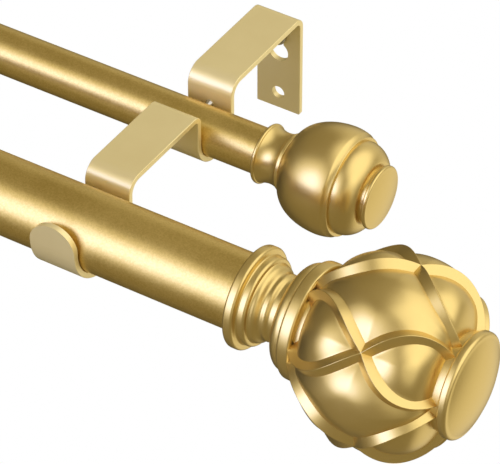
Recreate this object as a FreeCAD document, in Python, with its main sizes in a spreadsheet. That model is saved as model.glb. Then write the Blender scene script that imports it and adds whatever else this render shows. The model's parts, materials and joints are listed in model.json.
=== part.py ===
"""Double curtain pole: two telescopic poles on a pair of folded strip brackets.

The frame has its origin on the wall, at the centre of the right bracket's fixing hole. +X
runs along the poles to the right, +Y goes into the wall and +Z is up, so the room is on the
-Y side.
Depth means the distance from the wall, and drop the distance below the top of the arms.
"""
import FreeCAD
import Part

import math
import os

import Sketcher

V = FreeCAD.Vector
X_AXIS, Y_AXIS, Z_AXIS = V(1, 0, 0), V(0, 1, 0), V(0, 0, 1)
doc = FreeCAD.newDocument("double_curtain_pole")

# Driving sizes in millimetres, angles in degrees, each with the reason for it
SIZES = [
    ("strip_width", 17.0, "width of the folded steel strip"),
    ("strip_thickness", 2.0, "thickness of the strip"),
    ("strip_edge_radius", 0.3, "rounding along the strip's edges"),
    ("plate_height", 40.5, "height of the wall plate, arm top included"),
    ("wall_bend_radius", 2.0, "inner radius of the bend at the wall"),
    ("front_bend_radius", 4.0, "inner radius of the bends at the front of both arms"),
    ("back_bend_radius", 1.5, "inner radius of the bend at the back of the front arm"),
    ("rear_leg_depth", 45.0, "depth of the room face of the rear leg"),
    ("front_arm_length", 42.0, "from the back leg's wall face to the front leg's room face"),
    ("rear_cradle_radius", 9.0, "inner radius of the rear cradle"),
    ("front_cradle_radius", 14.4, "inner radius of the front cradle"),
    ("rear_cradle_drop", 12.5, "drop of the rear cradle's centre"),
    ("front_cradle_drop", 8.5, "drop of the front cradle's centre"),
    ("cradle_lean", 40.0, "angle at which a pushed pole touches its cradle"),
    ("seat_gap", 0.05, "gap between a pole and its cradle"),
    ("plate_corner_radius", 0.4, "rounding of the wall plate's bottom corners"),
    ("fixing_hole", 4.8, "diameter of the lower wall hole"),
    ("fixing_hole_rise", 6.3, "lower wall hole above the plate's bottom edge"),
    ("keyhole_round", 7.6, "diameter of the wide part of the keyhole"),
    ("keyhole_rise", 23.7, "keyhole's wide part above the plate's bottom edge"),
    ("keyhole_neck", 4.0, "width of the neck of the keyhole"),
    ("keyhole_slide", 7.2, "from the wide part's centre up to the neck's centre"),
    ("set_screw_drop", 10.9, "drop of the set screws"),
    ("set_screw_thread", 3.0, "outer diameter of the set screws"),
    ("set_screw_head", 5.8, "diameter of the set screws' pan heads"),
    ("set_screw_head_height", 2.2, "height of the set screws' pan heads"),
    ("tapping_gap", 0.05, "radial gap between a screw and its hole"),
    ("wall_screw_shank", 3.5, "diameter of the wall screws"),
    ("wall_screw_length", 8.0, "wall screws, from under the head to the tip"),
    ("wall_screw_head", 6.9, "diameter of the wall screws' pan heads"),
    ("wall_screw_head_height", 2.4, "height of the wall screws' pan heads"),
    ("wall_screw_seat", 0.1, "gap under the wall screws' heads"),
    ("head_round", 1.4, "rounding of the pan heads' edges"),
    ("screw_point", 1.8, "length of the tapered point of a screw"),
    ("screw_tip_radius", 0.8, "radius of the flat tip of a screw"),
    ("recess_width", 1.0, "width of the cross recess in a screw head"),
    ("recess_length", 3.4, "length of each arm of the cross recess, end to end"),
    ("recess_depth", 1.2, "depth of the cross recess in a screw head"),
    ("bracket_spacing", 559.0, "between the two brackets' middles"),
    ("front_overhang", 63.5, "front finial's collar beyond the bracket's middle"),
    ("rear_overhang", 28.0, "rear finial's collar beyond the bracket's middle"),
    ("front_pole", 25.4, "outer diameter of the front outer tube"),
    ("rear_pole", 15.9, "outer diameter of the rear outer tube"),
    ("front_inner_pole", 22.2, "outer diameter of the front inner tube"),
    ("rear_inner_pole", 12.7, "outer diameter of the rear inner tube"),
    ("tube_wall", 0.8, "wall of all four tubes"),
    ("glide_room", 14.0, "from a glide to the right plug when a pole is pushed together"),
    ("closed_gap", 0.5, "gap at the mouth when a pole is pushed together"),
    ("running_gap", 0.25, "radial gap between sliding plastic and steel"),
    ("plug_gap", 0.05, "radial gap between a plug or ring and its tube"),
    ("mouth_ring_lip", 0.8, "thickness of the lip of a mouth ring"),
    ("mouth_ring_length", 14.0, "length of a mouth ring inside its tube"),
    ("glide_length", 12.0, "length of the glide on an inner tube's end"),
    ("glide_spigot", 16.0, "length of the glide's spigot inside the tube"),
    ("glide_wall", 2.0, "wall of the glide's spigot"),
    ("plug_length", 26.0, "length of an end plug inside its tube"),
    ("plug_flange", 1.0, "thickness of the flange of an end plug"),
    ("front_socket_depth", 6.0, "depth of the front finial's socket"),
    ("rear_socket_depth", 5.0, "depth of the rear finial's socket"),
    ("socket_gap", 0.2, "radial gap between a tube and a finial's socket"),
    ("front_stud", 8.0, "diameter of the front finials' studs"),
    ("rear_stud", 6.0, "diameter of the rear finials' studs"),
    ("stud_in_finial", 14.0, "length of a stud inside its finial"),
    ("stud_in_plug", 20.0, "length of a stud inside its plug"),
    ("stud_gap", 0.05, "radial gap round a stud"),
    ("stud_end_gap", 1.0, "room beyond the end of a stud"),
    ("collar_length", 3.5, "front finial: thickness of the collar"),
    ("collar_radius", 17.0, "front finial: radius of the collar"),
    ("second_ring_length", 3.1, "front finial: thickness of the ring by the collar"),
    ("second_ring_radius", 14.7, "front finial: radius of that ring"),
    ("neck_bead_radius", 12.7, "front finial: radius of the first soft bead"),
    ("neck_bead_length", 2.7, "front finial: length of the first soft bead"),
    ("neck_end_bead_radius", 11.5, "front finial: radius of the second soft bead"),
    ("neck_end_bead_length", 2.7, "front finial: length of the second soft bead"),
    ("neck_radius", 10.4, "front finial: radius of the neck"),
    ("neck_length", 4.8, "front finial: length of the neck's hollow"),
    ("shoulder_ring_length", 3.6, "front finial: thickness of the ring past the neck"),
    ("shoulder_ring_radius", 17.8, "front finial: radius of that ring"),
    ("base_flange_length", 4.9, "front finial: thickness of the wide flange"),
    ("base_flange_radius", 19.8, "front finial: radius of the wide flange"),
    ("base_ring_length", 1.6, "front finial: thickness of the ring at the ball"),
    ("base_ring_radius", 18.4, "front finial: radius of the ring at the ball"),
    ("ring_round", 1.3, "front finial: rounding of the edges of its collar and flanges"),
    ("groove_width", 0.25, "width of the fine grooves between rings"),
    ("groove_depth", 0.5, "depth of the fine grooves between rings"),
    ("ball_length", 47.5, "front finial: the ball between its two rings"),
    ("ball_end_radius", 18.2, "front finial: radius of the ball's panels at its two rings"),
    ("band_rise", 3.0, "front finial: how far the bands stand over the panels"),
    ("band_width", 4.8, "front finial: width of a band"),
    ("band_sweep", 72.0, "front finial: turn of a band round the ball"),
    ("band_turn", 50.5, "front finial: place of the first band round the axis"),
    ("cap_ring_length", 2.2, "front finial: thickness of the ring under the cap"),
    ("cap_ring_radius", 16.2, "front finial: radius of the ring under the cap"),
    ("cap_length", 3.0, "front finial: thickness of the cap's rim"),
    ("cap_radius", 17.4, "front finial: radius of the cap"),
    ("cap_dome", 3.5, "front finial: height of the cap's dome"),
    ("rear_collar_radius", 10.3, "rear finial: radius of the collar"),
    ("rear_collar_length", 1.4, "rear finial: thickness of the collar"),
    ("rear_neck_length", 7.2, "rear finial: length of the hollow neck"),
    ("rear_neck_depth", 1.3, "rear finial: depth of the hollow neck"),
    ("rear_rim_length", 2.2, "rear finial: thickness of the rim past the neck"),
    ("bulb_start_radius", 9.6, "rear finial: radius where the bulb starts"),
    ("bulb_radius", 18.5, "rear finial: radius of the bulb"),
    ("bulb_rise_length", 15.8, "rear finial: from the rim to the bulb's widest place"),
    ("bulb_shoulder_length", 4.6, "rear finial: from the widest place to the soft step"),
    ("bulb_shoulder_radius", 17.9, "rear finial: radius at the soft step"),
    ("bulb_step_length", 1.4, "rear finial: length of the soft step"),
    ("bulb_step_radius", 16.9, "rear finial: radius where the soft step ends"),
    ("tier_radius", 15.8, "rear finial: radius of the second tier"),
    ("tier_length", 7.7, "rear finial: length of the second tier"),
    ("tier_end_radius", 11.0, "rear finial: radius where the second tier ends"),
    ("button_groove_radius", 9.6, "rear finial: radius of the groove at the button"),
    ("button_groove_length", 1.6, "rear finial: length of that groove"),
    ("button_radius", 10.8, "rear finial: radius of the end button"),
    ("button_length", 1.6, "rear finial: thickness of the end button"),
    ("button_dome", 1.2, "rear finial: height of the button's dome"),
]

sheet = doc.addObject("Spreadsheet::Sheet", "Sizes")
for row, (alias, value, meaning) in enumerate(SIZES, start=1):
    sheet.set(f"A{row}", meaning)
    sheet.set(f"B{row}", str(value))
    sheet.setAlias(f"B{row}", alias)
doc.recompute()


def size(formula):
    """Returns the number that a formula of sheet sizes gives, such as "Sizes.front_pole / 2"."""
    result = sheet.evalExpression(formula)
    return float(getattr(result, "Value", result))


def bind(target, **formulas):
    """Binds properties of an object to formulas of the sheet."""
    for prop, formula in formulas.items():
        target.setExpression(prop.replace("__", "."), formula)


# Places that follow from the sizes, as formulas of the sheet
ARM_TOP = "Sizes.plate_height - Sizes.fixing_hole_rise"
HALF_STRIP = "Sizes.strip_thickness / 2"
PLATE_BOTTOM = "-Sizes.fixing_hole_rise"
BACK_LEG_DEPTH = "Sizes.rear_leg_depth + 2 * Sizes.rear_cradle_radius"
FRONT_LEG_DEPTH = f"{BACK_LEG_DEPTH} + Sizes.front_arm_length"
REAR_CRADLE_DEPTH = "Sizes.rear_leg_depth + Sizes.rear_cradle_radius"
FRONT_CRADLE_DEPTH = f"{FRONT_LEG_DEPTH} + Sizes.front_cradle_radius"
LIP_DEPTH = f"{FRONT_LEG_DEPTH} + 2 * Sizes.front_cradle_radius"
REAR_PLAY = "Sizes.rear_cradle_radius - Sizes.rear_pole / 2 - Sizes.seat_gap"
FRONT_PLAY = "Sizes.front_cradle_radius - Sizes.front_pole / 2 - Sizes.seat_gap"
LEAN = "Sizes.cradle_lean * 1 deg"
REAR_POLE_Y = f"-({REAR_CRADLE_DEPTH} + ({REAR_PLAY}) * sin({LEAN}))"
REAR_POLE_Z = f"{ARM_TOP} - Sizes.rear_cradle_drop - ({REAR_PLAY}) * cos({LEAN})"
FRONT_POLE_Y = f"-({FRONT_CRADLE_DEPTH} + ({FRONT_PLAY}) * sin({LEAN}))"
FRONT_POLE_Z = f"{ARM_TOP} - Sizes.front_cradle_drop - ({FRONT_PLAY}) * cos({LEAN})"
SET_SCREW_Z = f"{ARM_TOP} - Sizes.set_screw_drop"
KEYHOLE_Z = f"{PLATE_BOTTOM} + Sizes.keyhole_rise"
PANEL_RADIUS = "sqrt(Sizes.ball_end_radius ^ 2 + (Sizes.ball_length / 2) ^ 2)"

# Radius of a turned curve as a share of the length that it spans
SOFT_BEAD = 0.85
FLANGE_BULGE = 0.9
NECK_HOLLOW = 0.9
STEP_HOLLOW = 1.6
TIER_CURVE = 1.25
# Length of the slanted side of a rim as a share of its rounding
SLANT = 0.8
# Share of a band's turn round the ball that eases in and out, the rest being even
CURL = 0.4


class Outline:
    """A sketch whose corners are placed by formulas of the sheet.

    The outline runs from corner to corner. A stretch is straight unless it is given a
    radius, and then it is the shorter arc of that radius, bulging to its left or right.
    """

    def __init__(self, body, name, plane, offset=None):
        self.sketch = body.newObject("Sketcher::SketchObject", name)
        role = {"XY": "XY_Plane", "XZ": "XZ_Plane", "YZ": "YZ_Plane"}[plane]
        origin = [item for item in body.Origin.OriginFeatures if item.Role == role]
        self.sketch.AttachmentSupport = [(origin[0], "")]
        self.sketch.MapMode = "FlatFace"
        if offset is not None:
            self.sketch.setExpression("AttachmentOffset.Base.z", offset)
        self.last = None

    def pin(self, item, end, across, up):
        """Fixes one end of a drawn item at two formulas."""
        for kind, formula in (("DistanceX", across), ("DistanceY", up)):
            index = self.sketch.addConstraint(
                Sketcher.Constraint(kind, -1, 1, item, end, size(formula)))
            self.sketch.setExpression(f"Constraints[{index}]", formula)

    def arc(self, start, finish, radius, left):
        """Draws the shorter arc from start to finish, turning left or right."""
        chord = finish - start
        middle = (start + finish) * 0.5
        height = math.sqrt(max(radius ** 2 - (chord.Length / 2) ** 2, 0.0))
        side = V(-chord.y, chord.x, 0).normalize() * (1 if left else -1)
        centre = middle + side * height
        first, second = (start, finish) if left else (finish, start)
        angles = [math.atan2((p - centre).y, (p - centre).x) for p in (first, second)]
        circle = Part.Circle(centre, Z_AXIS, radius)
        item = self.sketch.addGeometry(Part.ArcOfCircle(circle, angles[0], angles[1]), False)
        return item, (1, 2) if left else (2, 1)

    def draw(self, corners, closed=True):
        """Draws the outline through corners of (across, up, radius, turn) or (across, up).

        The radius and the turn of a corner belong to the stretch that ends there.
        """
        places = [V(size(corner[0]), size(corner[1]), 0) for corner in corners]
        order = list(range(1, len(corners))) + ([0] if closed else [])
        ends = []
        for finish in order:
            start = finish - 1
            corner = corners[finish]
            if len(corner) > 2:
                item, (first, second) = self.arc(
                    places[start], places[finish], size(corner[2]), corner[3] == "left")
                index = self.sketch.addConstraint(
                    Sketcher.Constraint("Radius", item, size(corner[2])))
                self.sketch.setExpression(f"Constraints[{index}]", corner[2])
            else:
                segment = Part.LineSegment(places[start], places[finish])
                item = self.sketch.addGeometry(segment, False)
                first, second = 1, 2
            ends.append((item, first, second))
        if not closed:
            self.pin(ends[0][0], ends[0][1], corners[0][0], corners[0][1])
        for (item, first, second), finish in zip(ends, order):
            self.pin(item, second, corners[finish][0], corners[finish][1])
        joined = list(zip(ends, ends[1:])) + ([(ends[-1], ends[0])] if closed else [])
        for before, after in joined:
            self.sketch.addConstraint(Sketcher.Constraint(
                "Coincident", before[0], before[2], after[0], after[1]))
        return self.sketch

    def circle(self, diameter, across="0", up="0"):
        """Draws a circle of a given diameter round a place."""
        centre = V(size(across), size(up), 0)
        item = self.sketch.addGeometry(Part.Circle(centre, Z_AXIS, size(diameter) / 2), False)
        self.pin(item, 3, across, up)
        index = self.sketch.addConstraint(
            Sketcher.Constraint("Diameter", item, size(diameter)))
        self.sketch.setExpression(f"Constraints[{index}]", diameter)
        return self.sketch


def new_body(label):
    """Starts a body that becomes one piece of the assembly."""
    body = doc.addObject("PartDesign::Body", label)
    body.Label = label
    return body


def pad(body, sketch, length, midplane=False, reverse=False):
    """Pads a sketch and returns the pad."""
    feature = body.newObject("PartDesign::Pad", sketch.Name + "_pad")
    feature.Profile = sketch
    feature.Midplane = midplane
    feature.Reversed = reverse
    feature.setExpression("Length", length)
    return feature


def pocket(body, sketch, length, reverse=False):
    """Cuts a sketch's shape out of a body and makes sure that something went."""
    doc.recompute()
    before = body.Shape.Volume
    feature = body.newObject("PartDesign::Pocket", sketch.Name + "_pocket")
    feature.Profile = sketch
    feature.Reversed = reverse
    feature.setExpression("Length", length)
    doc.recompute()
    if not body.Shape.Volume < before:
        raise ValueError(f"{sketch.Name} cuts nothing out of {body.Label}")
    return feature


def revolve(body, sketch):
    """Turns a half outline in the XZ plane round the body's Z axis."""
    feature = body.newObject("PartDesign::Revolution", sketch.Name + "_revolution")
    feature.Profile = sketch
    axis = [item for item in body.Origin.OriginFeatures if item.Role == "Z_Axis"]
    feature.ReferenceAxis = (axis[0], [""])
    feature.Angle = 360
    return feature


def turn_to(thing, direction, x, y, z):
    """Lays a piece that was made along +Z along +X, -X, +Y or -Y and moves it to its place."""
    turns = {"+X": (Y_AXIS, 90), "-X": (Y_AXIS, -90), "-Y": (X_AXIS, 90), "+Y": (X_AXIS, -90)}
    axis, angle = turns[direction]
    thing.Placement = FreeCAD.Placement(V(0, 0, 0), FreeCAD.Rotation(axis, angle))
    bind(thing, Placement__Base__x=x, Placement__Base__y=y, Placement__Base__z=z)


def mirrored(label, source):
    """Makes the left-hand copy of a right-hand piece, across the middle of the poles."""
    copy = doc.addObject("Part::Mirroring", label)
    copy.Label = label
    copy.Source = source
    copy.Normal = X_AXIS
    copy.setExpression("Base.x", "-Sizes.bracket_spacing / 2")
    return copy


def make_bracket(label):
    """Folds one strip into the wall plate, two arms, two cradles and the front lip."""
    body = new_body(label)
    mid = HALF_STRIP
    wall_radius = f"Sizes.wall_bend_radius + {mid}"
    front_radius = f"Sizes.front_bend_radius + {mid}"
    back_radius = f"Sizes.back_bend_radius + {mid}"
    rear_radius = f"Sizes.rear_cradle_radius + {mid}"
    lip_radius = f"Sizes.front_cradle_radius + {mid}"
    arm = f"{ARM_TOP} - {mid}"
    rear_leg = f"-(Sizes.rear_leg_depth - {mid})"
    back_leg = f"-({BACK_LEG_DEPTH} + {mid})"
    front_leg = f"-({FRONT_LEG_DEPTH} - {mid})"
    lip = f"-({LIP_DEPTH} + {mid})"
    rear_centre = f"{ARM_TOP} - Sizes.rear_cradle_drop"
    front_centre = f"{ARM_TOP} - Sizes.front_cradle_drop"
    path = Outline(body, label + "_path", "YZ").draw([
        (f"-{mid}", PLATE_BOTTOM),
        (f"-{mid}", f"{arm} - ({wall_radius})"),
        (f"-{mid} - ({wall_radius})", arm, wall_radius, "left"),
        (f"{rear_leg} + {front_radius}", arm),
        (rear_leg, f"{arm} - ({front_radius})", front_radius, "left"),
        (rear_leg, rear_centre),
        (f"-({REAR_CRADLE_DEPTH})", f"{rear_centre} - ({rear_radius})", rear_radius, "right"),
        (back_leg, rear_centre, rear_radius, "right"),
        (back_leg, f"{arm} - ({back_radius})"),
        (f"{back_leg} - ({back_radius})", arm, back_radius, "left"),
        (f"{front_leg} + {front_radius}", arm),
        (front_leg, f"{arm} - ({front_radius})", front_radius, "left"),
        (front_leg, front_centre),
        (f"-({FRONT_CRADLE_DEPTH})", f"{front_centre} - ({lip_radius})", lip_radius, "right"),
        (lip, front_centre, lip_radius, "right"),
        (lip, f"{front_centre} + Sizes.strip_width / 2"),
    ], closed=False)
    half = "Sizes.strip_width / 2"
    edge = "Sizes.strip_edge_radius"
    deep = "-Sizes.strip_thickness"
    section = Outline(body, label + "_section", "XY", PLATE_BOTTOM).draw([
        (f"{half} - {edge}", "0"),
        (half, f"-{edge}", edge, "right"),
        (half, f"{deep} + {edge}"),
        (f"{half} - {edge}", deep, edge, "right"),
        (f"-{half} + {edge}", deep),
        (f"-{half}", f"{deep} + {edge}", edge, "right"),
        (f"-{half}", f"-{edge}"),
        (f"-{half} + {edge}", "0", edge, "right"),
    ])
    strip = body.newObject("PartDesign::AdditivePipe", label + "_strip")
    strip.Profile = section
    strip.Spine = path
    doc.recompute()

    around = "2 * Sizes.strip_thickness"
    lip_top = f"{front_centre} + {half}"
    lip_end = Outline(body, label + "_lip_end", "XZ", f"{LIP_DEPTH} - {HALF_STRIP}").draw([
        (f"-{half} - {around}", front_centre),
        (f"-{half}", front_centre),
        ("0", lip_top, half, "right"),
        (half, front_centre, half, "right"),
        (f"{half} + {around}", front_centre),
        (f"{half} + {around}", f"{lip_top} + {around}"),
        (f"-{half} - {around}", f"{lip_top} + {around}"),
    ])
    pocket(body, lip_end, around, reverse=True)

    corner = "Sizes.plate_corner_radius"
    plate_end = Outline(body, label + "_plate_end", "XZ", f"-{HALF_STRIP}").draw([
        (f"-{half} - {around}", f"{PLATE_BOTTOM} + {corner}"),
        (f"-{half} - {around}", f"{PLATE_BOTTOM} - {around}"),
        (f"{half} + {around}", f"{PLATE_BOTTOM} - {around}"),
        (f"{half} + {around}", f"{PLATE_BOTTOM} + {corner}"),
        (half, f"{PLATE_BOTTOM} + {corner}"),
        (f"{half} - {corner}", PLATE_BOTTOM, corner, "right"),
        (f"-{half} + {corner}", PLATE_BOTTOM),
        (f"-{half}", f"{PLATE_BOTTOM} + {corner}", corner, "right"),
    ])
    pocket(body, plate_end, around, reverse=True)

    over = f"-{HALF_STRIP}"
    through = "2 * Sizes.strip_thickness"
    plate_hole = Outline(body, label + "_fixing_hole", "XZ", over)
    pocket(body, plate_hole.circle("Sizes.fixing_hole"), through, True)
    neck = "Sizes.keyhole_neck / 2"
    wide = "Sizes.keyhole_round / 2"
    meet = f"sqrt(({wide}) ^ 2 - ({neck}) ^ 2)"
    keyhole = Outline(body, label + "_keyhole", "XZ", over).draw([
        (f"-{neck}", f"{KEYHOLE_Z} + {meet}"),
        (f"-{wide}", KEYHOLE_Z, wide, "left"),
        ("0", f"{KEYHOLE_Z} - {wide}", wide, "left"),
        (wide, KEYHOLE_Z, wide, "left"),
        (neck, f"{KEYHOLE_Z} + {meet}", wide, "left"),
        (neck, f"{KEYHOLE_Z} + Sizes.keyhole_slide"),
        ("0", f"{KEYHOLE_Z} + Sizes.keyhole_slide + {neck}", neck, "left"),
        (f"-{neck}", f"{KEYHOLE_Z} + Sizes.keyhole_slide", neck, "left"),
    ])
    pocket(body, keyhole, through, True)
    thread = "Sizes.set_screw_thread + 2 * Sizes.tapping_gap"
    for part, face in (("rear", "Sizes.rear_leg_depth"), ("front", FRONT_LEG_DEPTH)):
        start = f"{face} - 1.5 * Sizes.strip_thickness"
        hole = Outline(body, f"{label}_{part}_set_screw_hole", "XZ", start)
        pocket(body, hole.circle(thread, "0", SET_SCREW_Z), through, True)
    return body


def make_screw(label, head, head_height, shank, length):
    """Turns a pan-head screw along +Z: the tip is up, the head hangs below zero."""
    body = new_body(label)
    profile = Outline(body, label + "_profile", "XZ").draw([
        ("0", f"-{head_height}"),
        (f"{head} / 2 - Sizes.head_round", f"-{head_height}"),
        (f"{head} / 2", f"-{head_height} + Sizes.head_round", "Sizes.head_round", "left"),
        (f"{head} / 2", "0"),
        (f"{shank} / 2", "0"),
        (f"{shank} / 2", f"{length} - Sizes.screw_point"),
        ("Sizes.screw_tip_radius", length),
        ("0", length),
    ])
    revolve(body, profile)
    start = f"-{head_height} - Sizes.recess_depth"
    deep = "2 * Sizes.recess_depth"
    wide = "Sizes.recess_width / 2"
    long = "Sizes.recess_length / 2"
    for turn, (half_x, half_y) in enumerate(((wide, long), (long, wide))):
        slot = Outline(body, f"{label}_slot_{turn}", "XY", start).draw([
            (half_x, half_y), (f"-{half_x}", half_y), (f"-{half_x}", f"-{half_y}"),
            (half_x, f"-{half_y}")])
        pocket(body, slot, deep, True)
    return body


def make_tube(label, outer, length):
    """Draws a plain tube along +Z."""
    body = new_body(label)
    ring = Outline(body, label + "_ring", "XY")
    ring.circle(outer)
    pad(body, ring.circle(f"{outer} - 2 * Sizes.tube_wall"), length)
    return body


def make_turned(label, corners):
    """Turns a piece along +Z from half of its outline."""
    body = new_body(label)
    revolve(body, Outline(body, label + "_profile", "XZ").draw(corners))
    return body


def make_front_finial(label):
    """Turns the front finial's core and puts the shell of crossing bands round its ball."""
    groove = "Sizes.groove_width"
    cut = "Sizes.groove_depth"
    socket = "Sizes.front_pole / 2 + Sizes.socket_gap"
    bore = "Sizes.front_stud / 2 + Sizes.stud_gap"
    ends = {}
    height = "0"
    for name in ("collar_length", "second_ring_length", "neck_bead_length",
                 "neck_end_bead_length", "neck_length", "shoulder_ring_length",
                 "base_flange_length", "base_ring_length", "ball_length", "cap_ring_length",
                 "cap_length", "cap_dome"):
        height = f"{height} + Sizes.{name}"
        ends[name] = height
    bore_end = "Sizes.front_socket_depth + Sizes.stud_in_finial + Sizes.stud_end_gap"
    collar, second = "Sizes.collar_radius", "Sizes.second_ring_radius"
    first_bead, end_bead = "Sizes.neck_bead_radius", "Sizes.neck_end_bead_radius"
    neck, shoulder = "Sizes.neck_radius", "Sizes.shoulder_ring_radius"
    flange, base = "Sizes.base_flange_radius", "Sizes.base_ring_radius"
    cap_ring, cap = "Sizes.cap_ring_radius", "Sizes.cap_radius"
    soft = "Sizes.ring_round"
    shoulder_bulge = f"Sizes.shoulder_ring_length * {FLANGE_BULGE}"
    dome = "Sizes.cap_dome"
    cap_face = f"{cap} - Sizes.cap_length / 3"
    dome_radius = f"(({cap_face}) ^ 2 + {dome} ^ 2) / (2 * {dome})"
    half_ball = "Sizes.ball_length / 2"
    ball_end = "Sizes.ball_end_radius"
    bead_bulge = f"Sizes.neck_bead_length * {SOFT_BEAD}"
    end_bulge = f"Sizes.neck_end_bead_length * {SOFT_BEAD}"
    hollow = f"Sizes.neck_length * {NECK_HOLLOW}"
    core = make_turned(label + "_core", [
        ("0", bore_end),
        (bore, bore_end),
        (bore, "Sizes.front_socket_depth"),
        (socket, "Sizes.front_socket_depth"),
        (socket, "0"),
        (f"{collar} - {soft}", "0"),
        (collar, soft, soft, "left"),
        (collar, f"{ends['collar_length']} - {soft}"),
        (f"{collar} - {soft}", ends["collar_length"], soft, "left"),
        (f"{second} - {cut}", ends["collar_length"]),
        (f"{second} - {cut}", f"{ends['collar_length']} + {groove}"),
        (second, f"{ends['collar_length']} + {groove} + {cut}", cut, "left"),
        (second, f"{ends['second_ring_length']} - {soft}"),
        (f"{second} - {soft}", ends["second_ring_length"], soft, "left"),
        (f"{first_bead} - {cut}", ends["second_ring_length"]),
        (f"{first_bead} - {cut}", ends["neck_bead_length"], bead_bulge, "left"),
        (f"{end_bead} - {cut}", ends["neck_bead_length"]),
        (f"{end_bead} - {cut}", ends["neck_end_bead_length"], end_bulge, "left"),
        (neck, f"{ends['neck_end_bead_length']} + {groove}"),
        (neck, f"{ends['neck_length']} - {groove}", hollow, "right"),
        (f"{shoulder} - {soft}", ends["neck_length"]),
        (shoulder, ends["shoulder_ring_length"], shoulder_bulge, "left"),
        (f"{shoulder} - {cut}", f"{ends['shoulder_ring_length']} + {groove}"),
        (f"{flange} - {soft}", f"{ends['shoulder_ring_length']} + {groove}"),
        (flange, f"{ends['shoulder_ring_length']} + {groove} + {soft}", soft, "left"),
        (flange, f"{ends['base_flange_length']} - {soft}"),
        (f"{flange} - {soft}", ends["base_flange_length"], soft, "left"),
        (base, ends["base_flange_length"]),
        (base, ends["base_ring_length"]),
        (ball_end, ends["base_ring_length"]),
        (PANEL_RADIUS, f"{ends['base_ring_length']} + {half_ball}", PANEL_RADIUS, "left"),
        (ball_end, ends["ball_length"], PANEL_RADIUS, "left"),
        (cap_ring, ends["ball_length"]),
        (cap_ring, ends["cap_ring_length"]),
        (cap_face, ends["cap_ring_length"]),
        (cap, f"{ends['cap_ring_length']} + Sizes.cap_length / 3", "Sizes.cap_length / 3",
         "left"),
        (cap, f"{ends['cap_length']} - Sizes.cap_length / 3"),
        (cap_face, ends["cap_length"], "Sizes.cap_length / 3", "left"),
        ("0", ends["cap_dome"], dome_radius, "left"),
    ])

    centre = f"{ends['base_ring_length']} + {half_ball}"
    reach = f"asin((Sizes.ball_length / 2) / ({PANEL_RADIUS} + Sizes.band_rise))"
    shell = doc.addObject("Part::Sphere", label + "_shell")
    bind(shell, Radius=f"{PANEL_RADIUS} + Sizes.band_rise", Angle1=f"-{reach}",
         Angle2=reach, Placement__Base__z=centre)
    windows = doc.addObject("Part::Feature", label + "_windows")
    windows.Shape = Part.makeCompound(ball_windows())
    windows.setExpression("Placement.Base.z", centre)
    lattice = doc.addObject("Part::Cut", label + "_lattice")
    lattice.Base = shell
    lattice.Tool = windows
    finial = doc.addObject("Part::Fuse", label)
    finial.Label = label
    finial.Base = core
    finial.Tool = lattice
    return finial


def band_point(share, start, way, side):
    """Gives a unit vector on the ball, on a band's middle line or beside it.

    A band leaves the neck, sweeps round the ball and reaches the cap one fifth of a turn
    further round, with its steepest turn half way. share runs from 0 at the neck to 1 at the cap, way is +1 or -1, and
    side is the angle by which the point lies to the left of the middle line.
    """
    end_angle = math.acos(size("Sizes.ball_length / 2") / size(PANEL_RADIUS))

    def middle(s):
        polar = math.pi - end_angle - s * (math.pi - 2 * end_angle)
        eased = s * s * (3 - 2 * s)
        turned = (1 - CURL) * s + CURL * eased
        sweep = math.radians(size("Sizes.band_sweep")) * way * turned
        return V(math.sin(polar) * math.cos(start + sweep),
                 math.sin(polar) * math.sin(start + sweep), math.cos(polar))

    small_step = 1e-4
    here = middle(share)
    along = (middle(share + small_step) - middle(share - small_step)).normalize()
    left = here.cross(along)
    return here * math.cos(side) + left * math.sin(side)


def window_side(start, way, side, first, last):
    """Samples one side of a window along a band's edge."""
    steps = 8
    return [band_point(first + (last - first) * step / steps, start, way, side)
            for step in range(steps + 1)]


def meeting_share(start, way, side, square_to, low, high):
    """Finds where a band's edge crosses a plane through the ball's centre, by halving."""
    def away(share):
        return band_point(share, start, way, side).dot(square_to)

    rising = away(high) > away(low)
    for _ in range(40):
        middle = (low + high) / 2
        if (away(middle) > 0) == rising:
            high = middle
        else:
            low = middle
    return (low + high) / 2


def taper(sides):
    """Makes a solid that tapers to the ball's centre, through the sides of one window.

    Every side is a list of unit vectors. They are carried onto a plane square to the
    window's middle, so that the solid's two ends are flat.
    """
    middle = V(0, 0, 0)
    for side in sides:
        for point in side:
            middle = middle + point
    middle.normalize()
    outer = size(f"{PANEL_RADIUS} + Sizes.band_rise")
    wires = []
    for depth in (0.35 * outer, 1.2 * outer):
        edges = []
        for side in sides:
            points = [point * (depth / point.dot(middle)) for point in side]
            if len(points) == 2:
                edges.append(Part.LineSegment(points[0], points[1]).toShape())
            else:
                curve = Part.BSplineCurve()
                curve.interpolate(points)
                edges.append(curve.toShape())
        wires.append(Part.Wire(edges))
    return Part.makeLoft(wires, True, True)


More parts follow.
